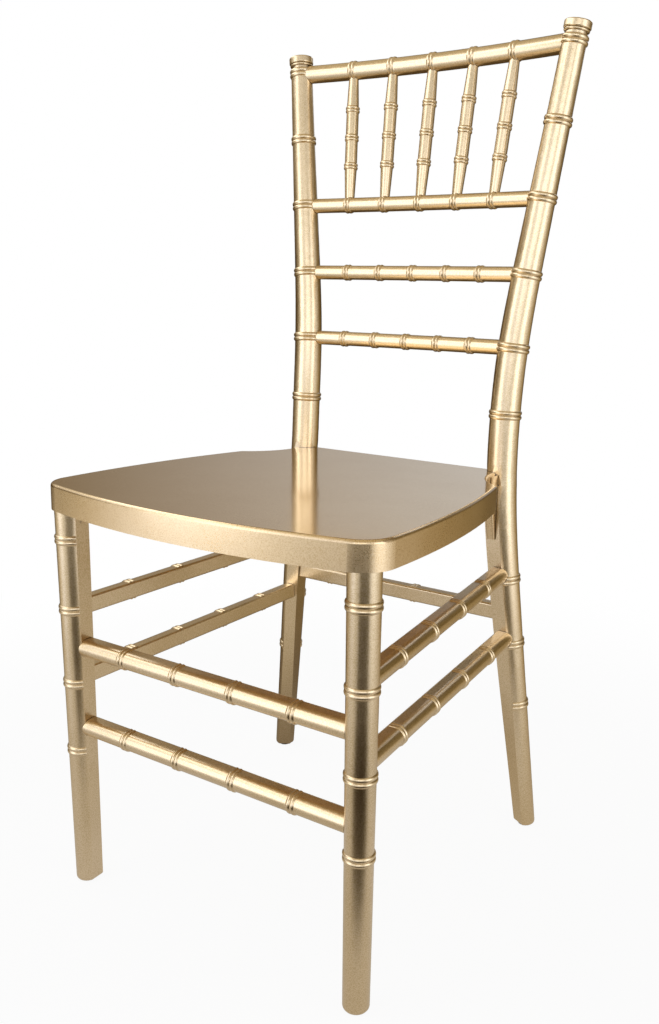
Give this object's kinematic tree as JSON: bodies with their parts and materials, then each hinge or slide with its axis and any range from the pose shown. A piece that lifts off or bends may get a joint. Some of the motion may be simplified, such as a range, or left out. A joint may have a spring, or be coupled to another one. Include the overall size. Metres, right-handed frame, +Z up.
{
  "type": "resin ballroom chair",
  "caption": "Armless ballroom chair of gold-coloured resin with bamboo-style ring turnings, a spindled back, a flat skirted seat and D-shaped stretchers between splayed legs.",
  "frame": {"origin": "on the floor, on the chair's plane of symmetry, midway between its furthest reach to the front and to the back", "axes": "+Z up, the sitter faces -Y, +X to the right of a viewer who stands in front of the chair"},
  "size_m": [0.4034, 0.4826, 0.9175],
  "materials": {
    "frame_resin": "satin gold with a fine metallic fleck",
    "seat_resin": "polished gold brown with a fine metallic fleck",
    "glide_plastic": "matte",
    "screw_steel": "plated"
  },
  "bodies": {
    "root": {"left_back_post": "frame_resin", "right_back_post": "frame_resin", "left_finial": "frame_resin", "right_finial": "frame_resin", "crest_rail": "frame_resin", "spindle_rail": "frame_resin", "upper_back_rung": "frame_resin", "lower_back_rung": "frame_resin", "back_spindle_1": "frame_resin", "back_spindle_2": "frame_resin", "back_spindle_3": "frame_resin", "back_spindle_4": "frame_resin", "back_spindle_5": "frame_resin", "seat_shell": "seat_resin", "front_left_leg": "frame_resin", "front_right_leg": "frame_resin", "front_upper_stretcher": "frame_resin", "front_lower_stretcher": "frame_resin", "left_upper_side_stretcher": "frame_resin", "left_lower_side_stretcher": "frame_resin", "right_upper_side_stretcher": "frame_resin", "right_lower_side_stretcher": "frame_resin", "back_stretcher": "frame_resin", "front_left_glide": "glide_plastic", "front_right_glide": "glide_plastic", "rear_left_glide": "glide_plastic", "rear_right_glide": "glide_plastic", "front_left_seat_screw": "screw_steel", "front_right_seat_screw": "screw_steel", "rear_left_seat_screw": "screw_steel", "rear_right_seat_screw": "screw_steel"}
  },
  "joints": []
}
